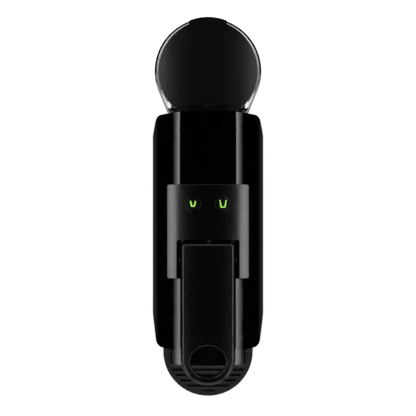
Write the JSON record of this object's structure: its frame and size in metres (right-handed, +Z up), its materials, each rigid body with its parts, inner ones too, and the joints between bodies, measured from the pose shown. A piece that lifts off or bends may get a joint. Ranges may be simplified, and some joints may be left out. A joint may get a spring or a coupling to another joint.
{
  "type": "pod coffee machine",
  "caption": "Slim capsule coffee machine: arched body, overhanging brewing head under a long lever, two round buttons, clear rear tank, slide-out drip drawer and folding round cup support.",
  "frame": {"origin": "centre of the bounding box, on the table", "axes": "+Z up, front and cup support towards -Y, water tank towards +Y, +X to the right seen from the front"},
  "size_m": [0.0854, 0.328, 0.204],
  "materials": {
    "shell": "piano black, highly polished",
    "satin": "satin black",
    "lid": "matte charcoal",
    "clear": "clear plastic",
    "icon": "lit light-green insert",
    "button": "satin black",
    "support": "satin dark grey",
    "base": "fine-textured black",
    "frame": "moulded dark grey",
    "white": "moulded off-white",
    "steel": "pressed steel",
    "heater": "die cast",
    "coil": "varnished yoke",
    "brass": "turned",
    "rubber": "soft rubber",
    "hose": "translucent silicone",
    "board": "green laminate"
  },
  "bodies": {
    "machine": {"outer_shell": "shell", "front_frame": "base", "head_floor": "base", "head_nose": "satin", "control_panel": "satin", "button_board": "board", "button_switches": "white", "board_frame": "frame", "brew_frame": "frame", "cage_rails": "white", "extraction_plate": "steel", "coffee_outlet": "base", "injector_sleeve": "brass", "thermoblock": "heater", "thermal_fuses": "white", "heater_bracket": "frame", "pump_body": "white", "pump_coil": "coil", "pump_spring": "steel", "pump_mounts": "rubber", "pump_cradle": "frame", "flow_meter": "white", "water_hoses": "hose", "base_plate": "base", "base_screws": "steel", "rubber_feet": "rubber", "chassis": "frame", "tank_support": "base", "tank_seat": "frame", "seat_seal": "rubber", "cord_gland": "base", "power_board": "board", "board_parts": "frame"},
    "lever_arm": {"lever": "satin", "lever_liner": "base", "cam_shaft": "steel"},
    "cage": {"capsule_cage": "white", "cage_pins": "steel", "piercing_blades": "steel", "cage_seal": "rubber", "injector_tube": "steel"},
    "small_button": {"button_small_cup": "button", "icon_small_cup": "icon"},
    "large_button": {"button_large_cup": "button", "icon_large_cup": "icon"},
    "plunger": {"pump_piston": "steel"},
    "turbine": {"flow_turbine": "white"},
    "tank": {"tank_body": "clear", "lid_hinge": "lid", "valve_housing": "white", "valve_plunger": "white", "valve_spring": "steel"},
    "lid": {"tank_lid": "lid"},
    "drawer": {"drip_tray": "base", "tray_pads": "rubber", "capsule_container": "base", "support_bracket": "base"},
    "grid": {"drip_grid": "support"},
    "cup_support": {"cup_support_rim": "support", "cup_support_grid": "support"}
  },
  "joints": [
    {"name": "lever_lift", "type": "hinge", "parent": "machine", "child": "lever_arm", "pos_m": [0, -0.0234, 0.191], "axis": [-1, 0, 0], "range_deg": [0, 92]},
    {"name": "cage_slide", "type": "slide", "parent": "machine", "child": "cage", "axis": [0, 1, 0], "range_m": [0, 0.024]},
    {"name": "small_cup_press", "type": "slide", "parent": "machine", "child": "small_button", "axis": [0, 0, -1], "range_m": [0, 0.001], "stiffness_N_per_m": 600, "springref_m": -0.0005},
    {"name": "large_cup_press", "type": "slide", "parent": "machine", "child": "large_button", "axis": [0, 0, -1], "range_m": [0, 0.001], "stiffness_N_per_m": 600, "springref_m": -0.0005},
    {"name": "pump_stroke", "type": "slide", "parent": "machine", "child": "plunger", "axis": [0, 0, -1], "range_m": [0, 0.003], "stiffness_N_per_m": 800, "springref_m": -0.001},
    {"name": "turbine_spin", "type": "hinge", "parent": "machine", "child": "turbine", "pos_m": [-0.028, 0.022, 0.125], "axis": [0, 0, 1], "continuous": true},
    {"name": "tank_lift", "type": "slide", "parent": "machine", "child": "tank", "axis": [0, 0, 1], "range_m": [0, 0.16]},
    {"name": "lid_lift", "type": "hinge", "parent": "tank", "child": "lid", "pos_m": [0, 0.0882, 0.1879], "axis": [1, 0, 0], "range_deg": [0, 80]},
    {"name": "drawer_slide", "type": "slide", "parent": "machine", "child": "drawer", "axis": [0, -1, 0], "range_m": [0, 0.15]},
    {"name": "grid_lift", "type": "slide", "parent": "drawer", "child": "grid", "axis": [0, 0, 1], "range_m": [0, 0.015]},
    {"name": "cup_support_fold", "type": "hinge", "parent": "drawer", "child": "cup_support", "pos_m": [0, -0.076, 0.0476], "axis": [-1, 0, 0], "range_deg": [0, 94]}
  ],
  "couplings": [
    {"joint": "cage_slide", "follows": "lever_lift", "m_per_rad": 0.014947}
  ]
}
